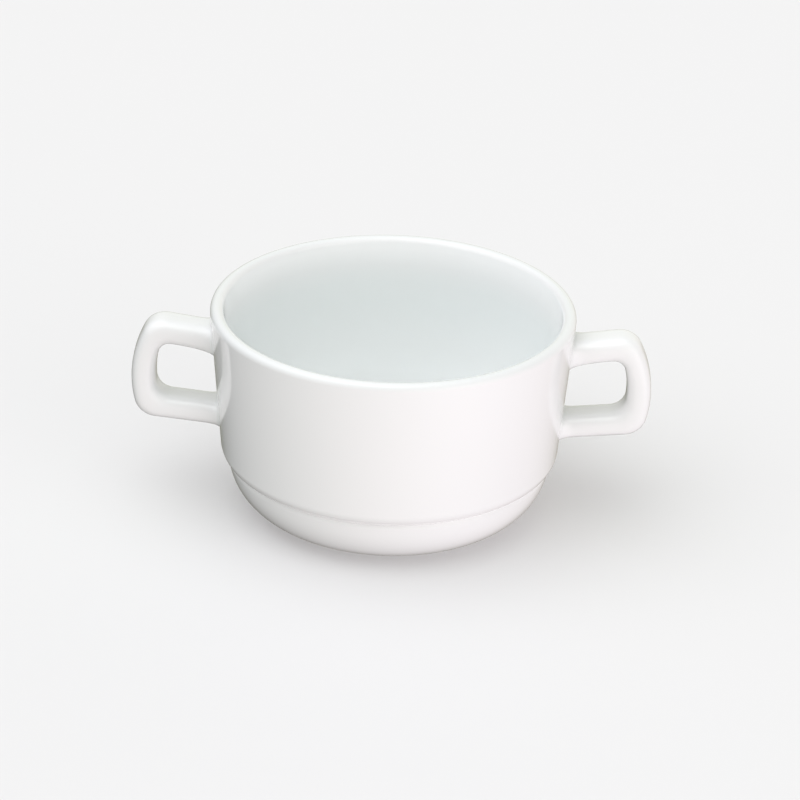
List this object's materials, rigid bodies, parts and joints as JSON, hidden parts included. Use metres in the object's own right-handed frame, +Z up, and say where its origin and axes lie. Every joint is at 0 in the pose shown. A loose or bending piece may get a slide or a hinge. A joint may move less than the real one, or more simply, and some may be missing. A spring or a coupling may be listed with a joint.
{
  "type": "consomme bowl",
  "caption": "Deep round stacking soup bowl in glazed white hotel ware, with a stepped base, a low foot ring and a squared loop handle luted to each side.",
  "frame": {"origin": "centre of the foot ring's standing face", "axes": "+Z up along the bowl's axis, +X along the line of the two handles"},
  "size_m": [0.1544, 0.108, 0.065],
  "materials": {
    "body_glaze": "glossy white glaze over vitrified body",
    "handle_glaze": "glossy white glaze over cast bar",
    "joint_slip": "sponged slip under the same glaze"
  },
  "bodies": {
    "root": {"bowl_body": "body_glaze", "left_handle": "handle_glaze", "right_handle": "handle_glaze", "left_upper_slip": "joint_slip", "left_lower_slip": "joint_slip", "right_upper_slip": "joint_slip", "right_lower_slip": "joint_slip"}
  },
  "joints": []
}
